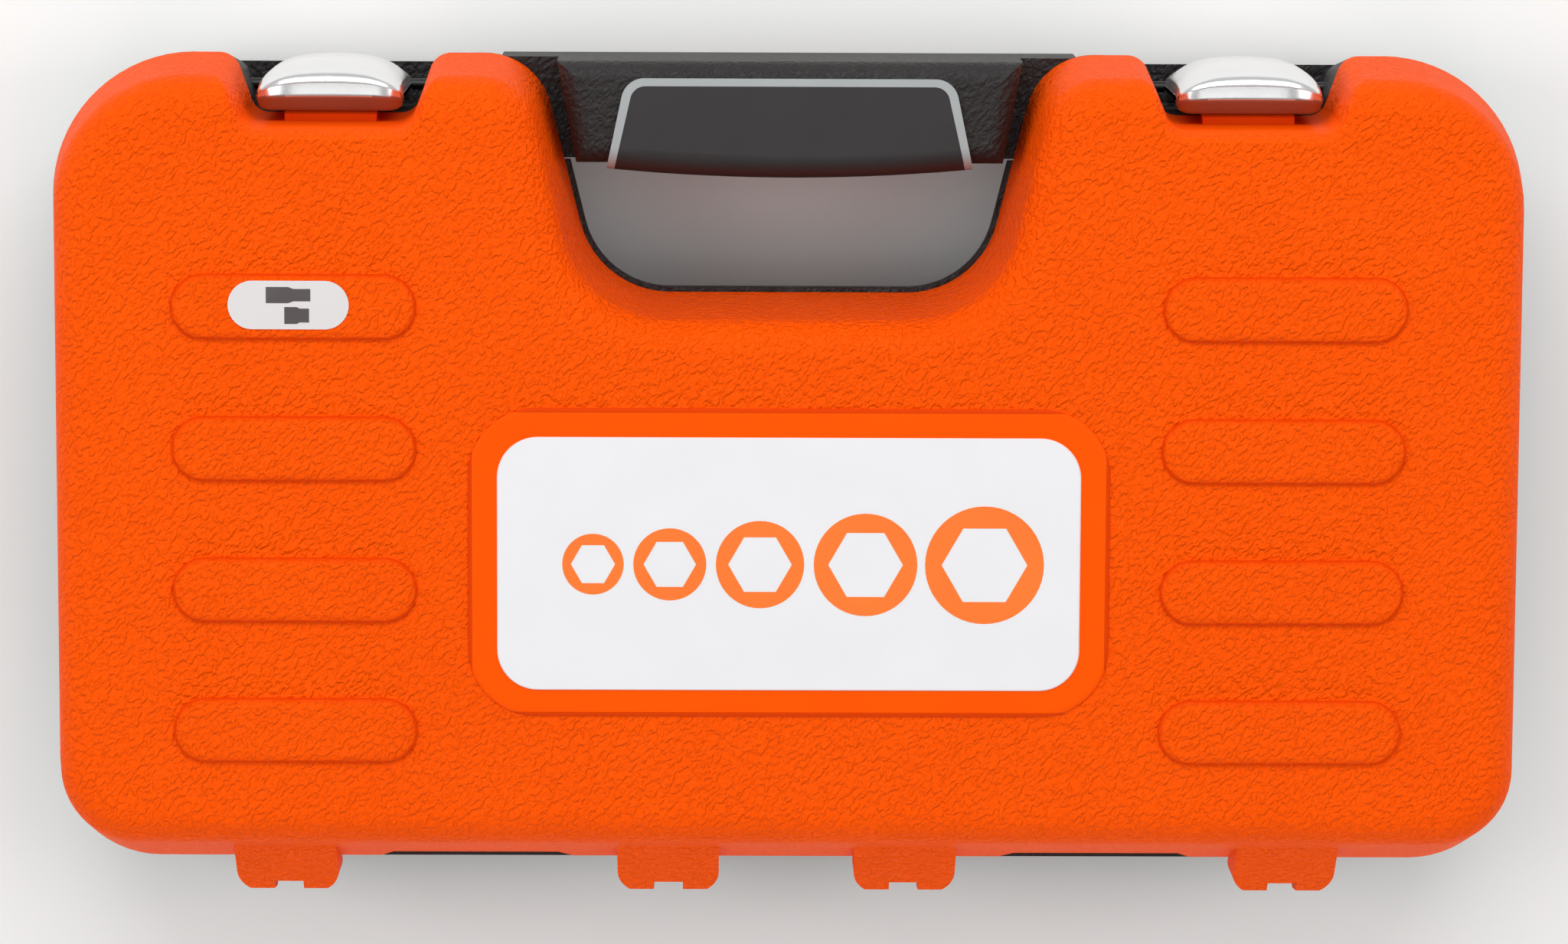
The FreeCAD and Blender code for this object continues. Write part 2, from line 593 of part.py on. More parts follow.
# small sockets, four in each shoulder of the case
small = [(10, 8.2), (11, 8.9), (12, 9.5), (13, 10.2), (14, 10.7), (15, 11.0), (16, 11.2), (17, 11.5)]
for i, (across_flats, radius) in enumerate(small):
    place = size("shoulder_inset") + size("shoulder_pitch") * (3 - i if i < 4 else i - 4)
    side = -1 if i < 4 else 1
    socket("socket_%d" % across_flats, across_flats, radius, 11.0, 38.0, "y",
           (side * place, size("shoulder_start")))

# spark plug sockets
socket("plug_socket_21", 20.8, 14.0, 14.0, 68.0, "x", (half - size("plug_inset"), 0.0), 0.7)
socket("plug_socket_16", 16.0, 11.0, 11.0, 64.0, "x", (half - size("plug_inset"), size("plug_y")), 0.7)

balls = []


def extension(name, x, y, length):
    """Extension bar lying along X: square male end at the start, collar with a square hole at the end."""
    place = (str(x), str(y), "Sheet.tool_level")
    shaft = "Sheet.extension_shaft / 2"
    collar = "Sheet.extension_collar / 2"
    bar = turned(name, "x", shifted(place, "x", "Sheet.square_length"),
                 [("1.2", collar + " - 3", collar + " - 1.5"), ("8", collar + " - 1.5", collar + " - 1.5"),
                  ("3", collar + " - 1.5", shaft), ("%s - Sheet.square_length - 44.2" % length, shaft, shaft),
                  ("6", shaft, collar), ("10", collar, collar), ("1", collar, collar + " - 0.7"),
                  ("2", collar + " - 0.7", collar + " - 0.7"), ("1", collar + " - 0.7", collar),
                  ("11", collar, collar), ("1", collar, collar + " - 1")])
    drive = square_bar(name + "_drive", "x", place, "Sheet.drive_square", "Sheet.square_length + 1")
    whole = fused(name + "_whole", [bar, drive])
    hole = square_bar(name + "_hole", "x", shifted(place, "x", "%s - Sheet.square_depth" % length),
                      "Sheet.drive_square + Sheet.square_play", "Sheet.square_depth + 1")
    ball_at = (str(x + 7.0), str(y),
               "Sheet.tool_level + Sheet.drive_square / 2 + Sheet.ball_show - Sheet.ball_size / 2")
    nest = primitive("Sphere", name + "_nest", ball_at, Radius="Sheet.ball_size / 2")
    node(cut(name + "_cut", whole, [hole, nest]), name)
    balls.append(primitive("Sphere", name + "_ball", ball_at, Radius="Sheet.ball_size / 2"))
    trough("x", x, length, y, size("extension_collar") / 2)


bar_long = round(2 * half * size("bar_share"), 1)
bar_short = round(2 * half * size("short_share"), 1)
bar_stub = round(2 * half * size("stub_share"), 1)
extension("extension_long", -half + size("bar_inset"), size("bar_y"), bar_long)
extension("extension_short", -half + size("short_inset"), size("short_y"), bar_short)
extension("extension_stub", half - size("stub_inset") - bar_stub, size("bar_y"), bar_stub)
ball_set = doc.addObject("Part::Compound", "ball_set")
ball_set.Links = balls
node(ball_set, "detent_balls")

# Ratchet: open head with gear, sliding pawl, cover, lever and release button; the drive square points down
hx = -half + size("head_inset")
grip_start = -half + size("grip_inset")
handle_end = half - size("handle_inset")
hy = size("head_y")
low = size("head_low")
high = size("head_high")
level = (low + high) / 2


def sector(inner, outer, angle, z0, z1):
    """Ring segment round the drive axis, angle degrees to each side of the handle."""
    ring = post(outer, z0, z1, hx, hy).cut(post(inner, z0 - 1, z1 + 1, hx, hy))
    a = math.radians(angle)
    reach = 2 * outer
    wedge = prism([(hx, hy), (hx + reach * math.cos(a), hy - reach * math.sin(a)),
                   (hx + reach * math.cos(a), hy + reach * math.sin(a))], "z", z0 - 2, z1 - z0 + 4)
    return ring.common(wedge)


def ratchet_shape():
    radius = size("head_radius")
    head = post(radius, low, high, hx, hy)
    head = head.makeFillet(1.5, [e for e in head.Edges if e.BoundBox.ZLength < 0.1])
    neck = prism([(hx + 8, hy - 15), (hx + 42, hy - 8.5), (hx + 42, hy + 8.5), (hx + 8, hy + 15)], "z", low + 3,
                 high - low - 6)
    neck = neck.makeFillet(4.0, [e for e in neck.Edges if e.BoundBox.XLength > 20])
    shank = rod(size("shank_radius"), hx + 36, grip_start + 1, hy, level)
    core = rod(size("shank_radius") - 1.5, grip_start - 1, handle_end - 3, hy, level)
    body = head.fuse([neck, shank, core])
    body = body.cut(post(size("case_bore"), low + 4, high + 1, hx, hy))
    body = body.cut(post(size("cover_radius"), high - size("cover_thick"), high + 1, hx, hy))
    body = body.cut(post(size("shaft_radius") + size("shaft_play"), low - 1, low + 5, hx, hy))
    for side in (-1, 1):
        body = body.cut(post(1.0, high - 8, high, hx - 9.0, hy + side * 13.2))
    return body.removeSplitter()


node(solid("ratchet_solid", ratchet_shape()), "ratchet_body")

grip_at = ("Sheet.grip_inset - Sheet.case_width / 2", "Sheet.head_y", "(Sheet.head_low + Sheet.head_high) / 2")
grip_run = "(Sheet.case_width - Sheet.handle_inset - Sheet.grip_inset)"
grip = turned("ratchet_grip", "x", grip_at,
              [("2", "Sheet.grip_radius - 3", "Sheet.grip_radius - 1"),
               (grip_run + " * 0.12 - 2", "Sheet.grip_radius - 1", "Sheet.grip_radius - 1"),
               (grip_run + " * 0.08", "Sheet.grip_radius - 1", "Sheet.grip_radius - 2.5"),
               (grip_run + " * 0.3", "Sheet.grip_radius - 2.5", "Sheet.grip_radius"),
               (grip_run + " * 0.3", "Sheet.grip_radius", "Sheet.grip_radius - 1"),
               (grip_run + " * 0.2 - 3", "Sheet.grip_radius - 1", "Sheet.grip_radius"),
               ("3", "Sheet.grip_radius", "Sheet.grip_radius - 3")])
core = primitive("Cylinder", "ratchet_grip_core", shifted(grip_at, "x", "-2"), ALONG["x"],
                 Radius="Sheet.shank_radius - 1.5", Height=grip_run + " - 1")
seat = primitive("Cylinder", "ratchet_grip_seat", shifted(grip_at, "x", "-2"), ALONG["x"],
                 Radius="Sheet.shank_radius", Height="3")
node(cut("ratchet_grip_cut", grip, [core, seat]), "ratchet_grip")


def cover_shape():
    thick = size("cover_thick")
    cover = post(size("cover_radius"), high - thick, high, hx, hy)
    cover = cover.cut(post(5.2, high - thick - 1, high + 1, hx, hy))
    for side in (-1, 1):
        cover = cover.cut(post(1.2, high - thick - 1, high + 1, hx - 9.0, hy + side * 13.2))
        cover = cover.cut(post(2.0, high - 1.2, high + 1, hx - 9.0, hy + side * 13.2))
    return cover


node(solid("cover_solid", cover_shape()), "ratchet_cover")

screws = []
for side in (-1, 1):
    x = hx - 9.0
    y = hy + side * 13.2
    screw = post(1.0, high - 8, high - 1, x, y).fuse(post(1.9, high - 1.2, high, x, y))
    slot = block(x - 2.2, x + 2.2, y - 0.3, y + 0.3, high - 0.6, high + 1)
    screws.append(screw.cut(slot))
node(solid("screw_solids", Part.makeCompound(screws)), "cover_screws")


def drive_shape():
    teeth = int(round(size("gear_teeth")))
    tip = size("gear_radius")
    root = tip - size("tooth_depth")
    points = []
    for i in range(teeth):
        turn = 2 * math.pi / teeth
        for share, radius in ((0.0, root), (0.5, tip)):
            angle = (i + share) * turn
            points.append((hx + radius * math.cos(angle), hy + radius * math.sin(angle)))
    gear = prism(points, "z", size("gear_low"), size("gear_high") - size("gear_low"))
    shaft = post(size("shaft_radius"), low - 1.2, size("gear_low") + 1, hx, hy)
    s = size("drive_square") / 2
    end = low - size("square_length")
    square = block(hx - s, hx + s, hy - s, hy + s, end, low)
    square = square.makeFillet(1.2, [e for e in square.Edges if e.BoundBox.ZLength > 10])
    square = square.makeChamfer(1.0, [e for e in square.Edges if e.BoundBox.ZLength < 0.1
                                      and e.CenterOfMass.z < low - 5])
    drive = gear.fuse([shaft, square])
    drive = drive.cut(post(size("button_radius") + 0.3, size("gear_low") + 4, size("gear_high") + 1, hx, hy))
    drive = drive.cut(post(1.8, end + 5.0, size("gear_low") + 5, hx, hy))
    ball = Part.makeSphere(size("ball_size") / 2, drive_ball_centre())
    return drive.cut(ball).removeSplitter()


def drive_ball_centre():
    return Vec(hx, hy + size("drive_square") / 2 + size("ball_show") - size("ball_size") / 2,
               low - size("square_length") + 7.0)


node(solid("drive_solid", drive_shape()), "drive_gear")
node(solid("drive_ball_solid", Part.makeSphere(size("ball_size") / 2, drive_ball_centre())), "drive_ball")

gear_clear = size("gear_radius") + 0.5
node(solid("pawl_solid", sector(gear_clear, size("case_bore") - 0.4, 24.0, size("gear_low") + 0.8,
                                size("gear_high") - 0.4)), "pawl")


def lever_shape():
    z0 = high + 0.3
    hub = post(size("lever_hub"), z0, z0 + size("lever_thick"), hx, hy)
    tab = prism([(hx + 2, hy - 5.0), (hx + size("lever_reach"), hy - 3.5), (hx + size("lever_reach"), hy + 3.5),
                 (hx + 2, hy + 5.0)], "z", z0, size("lever_thick") + 0.8)
    tab = tab.makeFillet(1.0, [e for e in tab.Edges if e.BoundBox.ZLength > 2 and e.CenterOfMass.x > hx + 10])
    stem = post(4.8, high - size("cover_thick") - 0.2, z0 + 0.5, hx, hy)
    return hub.fuse([tab, stem]).cut(post(size("button_radius") + 0.3, low, high + 9, hx, hy)).removeSplitter()


node(solid("lever_solid", lever_shape()), "reverse_lever")

button = post(size("button_radius"), size("gear_low") + 8.0, high + 5.0, hx, hy)
button = button.makeFillet(0.8, [e for e in button.Edges if e.BoundBox.ZMin > high + 4])
button = button.fuse(post(1.5, low - size("square_length") + 9.5, size("gear_low") + 8.5, hx, hy))
node(solid("button_solid", button.removeSplitter()), "release_button")

# Insert: a thin plate with one tub under each tool, held by the walls of the base

def trough_form(axis, start, length, across, radius, grow, lift, roof):
    """Half-round trough with straight sides up to roof, grown on every side by grow."""
    r = radius + grow
    z = size("tool_level") + lift
    if axis == "x":
        round_part = rod(r, start - grow, start + length + grow, across, z)
        upper = block(start - grow, start + length + grow, across - r, across + r, z, roof)
    else:
        round_part = Part.makeCylinder(r, length + 2 * grow, Vec(across, start - grow, z), Vec(0, 1, 0))
        upper = block(across - r, across + r, start - grow, start + length + grow, z, roof)
    return round_part.fuse(upper)


def tray_shape():
    play = size("pocket_play")
    skin = size("tub_wall")
    roof = size("tray_top")
    near = rim_level - roof
    plate = cave_form(rim_level, -1, near, near + size("tray_thick"), draft)
    tubs = [trough_form(*t, play + skin, play, roof) for t in troughs]
    holes = [trough_form(*t, play, play, roof + 20) for t in troughs]
    # head, shank and grip of the ratchet, and the well for its drive square
    end = low - size("square_length")
    for grow, store, lid_level in ((play + skin, tubs, roof), (play, holes, roof + 20)):
        store.append(post(size("head_radius") + grow, low - grow + play, lid_level, hx, hy))
        store.append(post(10.0 + grow, end - 0.6 - grow + play, low, hx, hy))
        for radius, x0, x1 in ((9.0, hx + 15, grip_start + 2),
                               (size("grip_radius"), grip_start - 1, handle_end + 1)):
            r = radius + grow
            store.append(rod(r, x0 - grow, x1 + grow, hy, level).fuse(
                block(x0 - grow, x1 + grow, hy - r, hy + r, level, max(lid_level, level + 0.5))))
        store.append(prism([(hx + 8, hy - 16 - grow), (hx + 46, hy - 9 - grow), (hx + 46, hy + 9 + grow),
                            (hx + 8, hy + 16 + grow)], "z", low + 2.4 - grow + play, lid_level - low))
    inside = cave_form(rim_level, -1, near, rim_level - wall, draft)
    tray = plate.fuse(tubs).common(inside)
    return tray.cut(holes).removeSplitter()


node(solid("tray_solid", tray_shape()), "tool_tray")

# Recompute, check and write every node
doc.recompute()
for part in doc.Objects:
    if "Invalid" in part.State or "Error" in part.State:
        raise RuntimeError("feature failed: " + part.Name)
os.makedirs("parts", exist_ok=True)
for name, part in nodes.items():
    if part.Shape.isNull() or not part.Shape.isValid():
        raise RuntimeError("bad shape: " + name)
    part.Shape.exportStep("parts/%s.step" % name)
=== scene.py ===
import json
import math

import bpy
from mathutils import Matrix, Vector


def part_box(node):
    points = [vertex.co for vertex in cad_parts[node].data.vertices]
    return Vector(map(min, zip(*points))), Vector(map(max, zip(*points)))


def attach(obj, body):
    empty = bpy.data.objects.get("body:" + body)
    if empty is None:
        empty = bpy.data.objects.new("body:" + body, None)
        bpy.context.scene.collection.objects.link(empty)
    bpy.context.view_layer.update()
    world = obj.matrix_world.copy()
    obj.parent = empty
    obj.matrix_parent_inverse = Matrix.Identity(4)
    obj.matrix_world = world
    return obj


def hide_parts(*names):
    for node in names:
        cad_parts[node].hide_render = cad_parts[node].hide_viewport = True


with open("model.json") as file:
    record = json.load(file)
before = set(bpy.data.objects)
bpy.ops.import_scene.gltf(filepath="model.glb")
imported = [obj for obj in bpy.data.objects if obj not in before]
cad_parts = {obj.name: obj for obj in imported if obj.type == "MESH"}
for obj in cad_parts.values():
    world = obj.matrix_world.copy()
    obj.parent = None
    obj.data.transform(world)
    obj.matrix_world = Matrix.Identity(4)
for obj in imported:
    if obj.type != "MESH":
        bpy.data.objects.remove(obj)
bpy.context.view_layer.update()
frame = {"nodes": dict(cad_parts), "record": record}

MM = 0.001
nodes = frame["nodes"]
scene = bpy.context.scene
scene.view_settings.view_transform = "Standard"


# Materials: every surface is a small node graph on the part's own coordinates (metres)

class Graph:
    """A new material with its Principled shader and short calls for adding nodes."""

    def __init__(self, name):
        self.material = bpy.data.materials.new(name)
        self.material.use_nodes = True
        self.tree = self.material.node_tree
        self.shader = self.tree.nodes["Principled BSDF"]
        self.place = self.tree.nodes.new("ShaderNodeTexCoord").outputs["Object"]

    def link(self, source, target):
        self.tree.links.new(source, target)

    def node(self, kind, inputs, **settings):
        made = self.tree.nodes.new(kind)
        for key, value in settings.items():
            setattr(made, key, value)
        for key, value in inputs.items():
            if isinstance(value, bpy.types.NodeSocket):
                self.link(value, made.inputs[key])
            else:
                made.inputs[key].default_value = value
        return made

    def math(self, operation, *values):
        return self.node("ShaderNodeMath", dict(enumerate(values)), operation=operation).outputs[0]

    def invert(self, value):
        return self.math("SUBTRACT", 1.0, value)

    def axes(self):
        return self.node("ShaderNodeSeparateXYZ", {"Vector": self.place}).outputs

    def noise(self, scale, place=None, detail=2.0, roughness=0.5, output="Fac"):
        where = self.place if place is None else place
        inputs = {"Vector": where, "Scale": scale, "Detail": detail, "Roughness": roughness}
        return self.node("ShaderNodeTexNoise", inputs).outputs[output]

    def spread(self, value, low, high):
        """Map a 0 to 1 value to the range low to high."""
        return self.node("ShaderNodeMapRange", {"Value": value, "To Min": low, "To Max": high}).outputs[0]

    def mix(self, share, low, high):
        """Blend of two colours, each a fixed colour or the output of another node."""
        inputs = {"Factor": share, "A": low, "B": high}
        return self.node("ShaderNodeMix", inputs, data_type="RGBA").outputs["Result"]

    def tones(self, scale, low, high):
        """Soft drift between two fixed colours."""
        return self.mix(self.noise(scale), (*low, 1.0), (*high, 1.0))

    def bump(self, height, strength, distance):
        made = self.node("ShaderNodeBump", {"Height": height, "Strength": strength, "Distance": distance})
        self.link(made.outputs["Normal"], self.shader.inputs["Normal"])

    def set(self, socket, value):
        self.shader.inputs[socket].default_value = value

    def colour(self, source):
        self.link(source, self.shader.inputs["Base Color"])

    def roughness(self, source):
        self.link(source, self.shader.inputs["Roughness"])

    def sheen(self, scale, middle, reach):
        """Roughness that drifts about a middle value."""
        self.roughness(self.spread(self.noise(scale), middle - reach, middle + reach))


def inside(graph, box, both_sides=False):
    """1 inside a box of the part frame, 0 outside, and the same in its mirror image for both sides."""
    axes = graph.axes()
    mask = None
    for axis, (low, high) in zip("XYZ", box):
        value = axes[axis]
        if axis == "X" and both_sides:
            value = graph.math("ABSOLUTE", value)
        above = graph.math("GREATER_THAN", value, low)
        below = graph.math("LESS_THAN", value, high)
        between = graph.math("MULTIPLY", above, below)
        mask = between if mask is None else graph.math("MULTIPLY", mask, between)
    return mask


GRAIN_SCALE = 850.0
GRAIN_DETAIL = 1.5
GRAIN_ROUGHNESS = 0.45
GRAIN_LOW = 0.36
GRAIN_HIGH = 0.64
GRAIN_DEPTH = 0.0007
GRAIN_TURN = math.radians(50.0)
GRAIN_STRETCH = (1.6, 1.0, 1.0)
DRIFT_SCALE = 520.0
DRIFT_DETAIL = 1.0
DRIFT_REACH = 1.5 * MM


def grain(graph, strength, smooth=None):
    """Fine leather-like grain: short slanting wrinkles, left off where smooth is 1."""
    slant = {"Vector": graph.place, "Rotation": (0.0, 0.0, GRAIN_TURN), "Scale": GRAIN_STRETCH}
    slanted = graph.node("ShaderNodeMapping", slant, vector_type="TEXTURE").outputs[0]
    drift = graph.noise(DRIFT_SCALE, slanted, DRIFT_DETAIL, output="Color")
    bent = graph.node("ShaderNodeVectorMath", {0: drift, "Scale": DRIFT_REACH}, operation="SCALE").outputs[0]
    moved = graph.node("ShaderNodeVectorMath", {0: slanted, 1: bent}, operation="ADD").outputs[0]
    wrinkle = graph.noise(GRAIN_SCALE, moved, GRAIN_DETAIL, GRAIN_ROUGHNESS)
    height = graph.node("ShaderNodeMapRange", {"Value": wrinkle, "From Min": GRAIN_LOW,
                                               "From Max": GRAIN_HIGH}).outputs[0]
    if smooth is not None:
        height = graph.math("MULTIPLY", height, graph.invert(smooth))
    graph.bump(height, strength, GRAIN_DEPTH)


LID_FACE = 80.0 * MM
EDGE_START = 0.04 * MM
EDGE_FULL = 0.8 * MM
EDGE_GONE = 1.5 * MM


def painted_crease_shade(graph):
    """Painted crease shade: 1 at the foot of the raised fields on the lid face, fading out towards their
    tops.
    """
    level = graph.axes()["Z"]
    above = graph.math("GREATER_THAN", level, LID_FACE + EDGE_START)
    fade = graph.node("ShaderNodeMapRange", {"Value": level, "From Min": LID_FACE + EDGE_FULL,
                                             "From Max": LID_FACE + EDGE_GONE, "To Min": 1.0,
                                             "To Max": 0.0}).outputs[0]
    return graph.math("MULTIPLY", above, fade)


# the two smooth places of the lid: the badge plate and the floors of the latch notches
BADGE_PLATE = [(-82.5 * MM, 82.5 * MM), (-57.3 * MM, 21.5 * MM), (80.3 * MM, 90.0 * MM)]
NOTCH_FLOOR = [(98.0 * MM, 142.0 * MM), (89.0 * MM, 98.5 * MM), (0.0, 77.5 * MM)]
LID_DARK = (0.95, 0.086, 0.0008)
LID_LIGHT = (1.0, 0.097, 0.001)
# darker orange for the painted crease shade at the foot of the raised fields
LID_CREASE_SHADE = (0.7, 0.05, 0.0006)
LID_TONE_SCALE = 35.0
LID_ROUGHNESS = 0.47
LID_GRAIN = 0.8
LID_SPECULAR = 0.035
MOULD_TONE_SCALE = 40.0
MOULD_SPECULAR = 0.3
SHEEN_SCALE = 250.0
SHEEN_SPREAD = 0.05


def lid_material(name):
    graph = Graph(name)
    badge = inside(graph, BADGE_PLATE)
    notch = inside(graph, NOTCH_FLOOR, both_sides=True)
    # mask of the painted crease shade at the foot of the raised fields, left off the badge plate; the grain
    # is left off there too
    edge = graph.math("MULTIPLY", painted_crease_shade(graph), graph.invert(badge))
    smooth = graph.math("MAXIMUM", graph.math("MAXIMUM", badge, notch), edge)
    grain(graph, LID_GRAIN, smooth)
    plastic = graph.tones(LID_TONE_SCALE, LID_DARK, LID_LIGHT)
    # the plastic darkened by painted crease shade at the foot of the raised fields
    graph.colour(graph.mix(edge, plastic, (*LID_CREASE_SHADE, 1.0)))
    graph.sheen(SHEEN_SCALE, LID_ROUGHNESS, SHEEN_SPREAD)
    graph.set("Specular IOR Level", LID_SPECULAR)
    return graph.material


def grained(name, low, high, roughness, strength):
    """Moulded plastic with grain all over."""
    graph = Graph(name)
    grain(graph, strength)
    graph.colour(graph.tones(MOULD_TONE_SCALE, low, high))
    graph.sheen(SHEEN_SCALE, roughness, SHEEN_SPREAD)
    graph.set("Specular IOR Level", MOULD_SPECULAR)
    return graph.material


PLAIN_TONE_SCALE = 60.0
PLAIN_SHEEN_SCALE = 180.0
PLAIN_SHEEN_SPREAD = 0.04
PLAIN_BUMP_SCALE = 900.0
PLAIN_BUMP_DEPTH = 0.0002
FINE_BUMP = 0.06
SOFT_BUMP = 0.12


def plain(name, low, high, roughness, strength=FINE_BUMP, metallic=0.0):
    """Smooth moulded, painted or printed surface: faint colour drift and a very fine bump."""
    graph = Graph(name)
    graph.colour(graph.tones(PLAIN_TONE_SCALE, low, high))
    graph.sheen(PLAIN_SHEEN_SCALE, roughness, PLAIN_SHEEN_SPREAD)
    graph.bump(graph.noise(PLAIN_BUMP_SCALE), strength, PLAIN_BUMP_DEPTH)
    graph.set("Metallic", metallic)
    return graph.material


METAL_TONE_SCALE = 70.0
LINE_SCALE = 900.0
LINE_BUMP = 0.04
LINE_DEPTH = 0.0001
LINE_SMOOTHER = 0.06
LINE_ROUGHER = 0.08
ALONG_X = (0.1, 1.0, 1.0)
ACROSS_X = (1.0, 0.05, 0.05)


def metal(name, low, high, roughness, stretch):
    """Bare metal with fine lines, drawn out by the stretch of each axis."""
    graph = Graph(name)
    graph.set("Metallic", 1.0)
    scaled = graph.node("ShaderNodeMapping", {"Vector": graph.place, "Scale": stretch}).outputs[0]
    lines = graph.noise(LINE_SCALE, scaled)
    graph.colour(graph.tones(METAL_TONE_SCALE, low, high))
    graph.roughness(graph.spread(lines, roughness - LINE_SMOOTHER, roughness + LINE_ROUGHER))
    graph.bump(lines, LINE_BUMP, LINE_DEPTH)
    return graph.material


# each with its darker and its lighter tone, and its roughness
orange = lid_material("orange grained plastic")
black = grained("black grained plastic", (0.014, 0.0122, 0.012), (0.022, 0.0195, 0.019), 0.5, strength=0.5)
tray = plain("formed tray sheet", (0.018, 0.018, 0.02), (0.028, 0.028, 0.03), 0.38)
grip = plain("soft grip", (0.017, 0.0155, 0.016), (0.024, 0.022, 0.0228), 0.55, SOFT_BUMP)
trim = plain("grip border", (0.34, 0.37, 0.375), (0.4, 0.43, 0.435), 0.42)
white = plain("white inlay", (0.78, 0.77, 0.79), (0.83, 0.82, 0.84), 0.38)
label = plain("label film", (0.68, 0.645, 0.645), (0.73, 0.695, 0.695), 0.3)
print_orange = plain("orange print", (0.9, 0.16, 0.01), (1.0, 0.2, 0.014), 0.4)
print_dark = plain("dark print", (0.05, 0.042, 0.042), (0.11, 0.09, 0.09), 0.4)
silver = plain("silver latch paint", (0.78, 0.79, 0.79), (0.85, 0.86, 0.86), 0.2, metallic=0.92)
# darker copy of the latch paint for the nose faces: painted shade standing in for the shaded notch reflected
# there
nose_shade_metal = plain("latch nose painted shade", (0.3, 0.27, 0.26), (0.38, 0.34, 0.33), 0.34, metallic=0.9)
dark_steel = metal("blackened pin", (0.03, 0.03, 0.032), (0.05, 0.05, 0.052), 0.4, ACROSS_X)
steel = metal("pin steel", (0.5, 0.5, 0.51), (0.62, 0.62, 0.63), 0.3, ACROSS_X)
chrome = metal("satin chrome", (0.72, 0.73, 0.74), (0.82, 0.83, 0.84), 0.2, ALONG_X)
rubber = plain("handle rubber", (0.016, 0.016, 0.017), (0.026, 0.026, 0.027), 0.5, SOFT_BUMP)

BY_SLOT = {"orange_plastic": orange, "black_plastic": black, "tray_plastic": tray, "grip_rubber": grip,
           "trim_grey": trim, "white_inlay": white, "label_film": label, "silver_latch": silver,
           "pin_steel": steel, "handle_rubber": rubber, "chrome_tools": chrome}
for entry in frame["record"]["subparts"]:
    piece = nodes[entry["node"]]
    piece.data.materials.clear()
    piece.data.materials.append(BY_SLOT[entry["material_slot"]])
nodes["latch_pins"].data.materials[0] = dark_steel


# Pieces that only the picture has; their points are in the part frame, in metres

def added(name, points, faces, materials, body):
    """New piece that moves with a body."""
    mesh = bpy.data.meshes.new(name)
    mesh.from_pydata(points, [], faces)
    mesh.update()
    for material in materials:
        mesh.materials.append(material)
    piece = bpy.data.objects.new(name, mesh)
    scene.collection.objects.link(piece)
    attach(piece, body)
    return piece


def skin(rings):
    """Points and faces of a solid drawn through rings of equal point count, closed at both ends."""
    count = len(rings[0])
    points = [point for ring in rings for point in ring]
    faces = []
    for near in range(0, len(points) - count, count):
        far = near + count
        for k in range(count):
            following = (k + 1) % count
            faces.append((near + k, near + following, far + following, far + k))
    faces.append(tuple(reversed(range(count))))
    faces.append(tuple(range(len(points) - count, len(points))))
    return points, faces


# Rim of the base in the hand opening

OPENING_FLOOR = 48.9 * MM
OPENING_HALF = 50.64 * MM
OPENING_LEAN = math.radians(14.0)
OPENING_CORNER = 24.5 * MM
CORNER_STEPS = 16
RIM_END = 84.0 * MM
# section of the rim: how far it stands into the hand opening, and its level
RIM_SECTION = [(-0.8 * MM, 36.7 * MM), (0.8 * MM, 36.7 * MM), (1.4 * MM, 37.3 * MM), (1.4 * MM, 39.2 * MM),
               (1.1 * MM, 39.6 * MM), (-0.8 * MM, 39.6 * MM)]


def opening_line(inset):
    """Edge of the hand opening from one end of the handle to the other, moved into the opening by inset."""
    across = OPENING_HALF - OPENING_CORNER * (1.0 - math.sin(OPENING_LEAN)) / math.cos(OPENING_LEAN)
    up = OPENING_FLOOR + OPENING_CORNER
    radius = OPENING_CORNER - inset
    half = []
    for i in range(CORNER_STEPS + 1):
        angle = -math.pi / 2 + (math.pi / 2 - OPENING_LEAN) * i / CORNER_STEPS
        half.append((across + radius * math.cos(angle), up + radius * math.sin(angle)))
    rise = RIM_END - OPENING_FLOOR
    half.append((OPENING_HALF + rise * math.tan(OPENING_LEAN) - inset / math.cos(OPENING_LEAN), RIM_END))
    return [(-x, y) for x, y in reversed(half)] + half


def opening_rim():
    """Narrow rim of the base that shows inside the hand opening below the edge of the lid."""
    lines = []
    for inset, level in RIM_SECTION:
        lines.append([(x, y, level) for x, y in opening_line(inset)])
    points, faces = skin(list(zip(*lines)))
    added("opening_rim", points, faces, [black], "base")


opening_rim()


# Latches: the arm and barrel with a domed outside, a flat lip and a sloping nose (millimetres)

LATCH_OUT = 112.0
LATCH_BACK = 101.0
LATCH_TIP = 98.4
LATCH_NOSE = 68.0
LATCH_FOOT = 15.6
LATCH_BEND = 34.0
LATCH_PIVOT = (102.5, 20.0)
LATCH_BARREL = 4.5
BARREL_ANGLES = range(90, 251, 20)
BARREL_JOIN = (103.2, 24.6)
FOOT_RISE = 0.1
FOOT_SLANT = 3.4
OUTSIDE_SOFT = [0.0, 2.5, 6.0, 0.0]
ARM_INSIDE = 107.6
ARM_TOP = 58.6
ARM_LOW = 26.0
DOME_DEEP = 5.8
DOME_TALL = 16.0
DOME_ANGLES = range(10, 91, 10)
LIP_STEP = 0.5
LIP_START = 0.2
LIP_END = 102.4
NOSE_DROP = 3.8
NOSE_THICK = 3.2
NOSE_SOFT = [0.0, 1.0, 1.4, 1.0, 2.0, 3.0, 0.0]
NOSE_FROM = LIP_END + 0.1
NOSE_UNDER = 60.0
HOOK_LEVEL = 55.0
TOP_FROM = 56.0
CROWN = 2.6
END_ROUND = 11.0
END_DROP = 6.0
TOP_DROP = 4.0
FOOT_ROUND = 4.0
FOOT_DROP = 2.5
EDGE_SOFT = 0.6
SOFT_STEPS = 4
LATCH_STATIONS = 25
SHARP = math.radians(38.0)


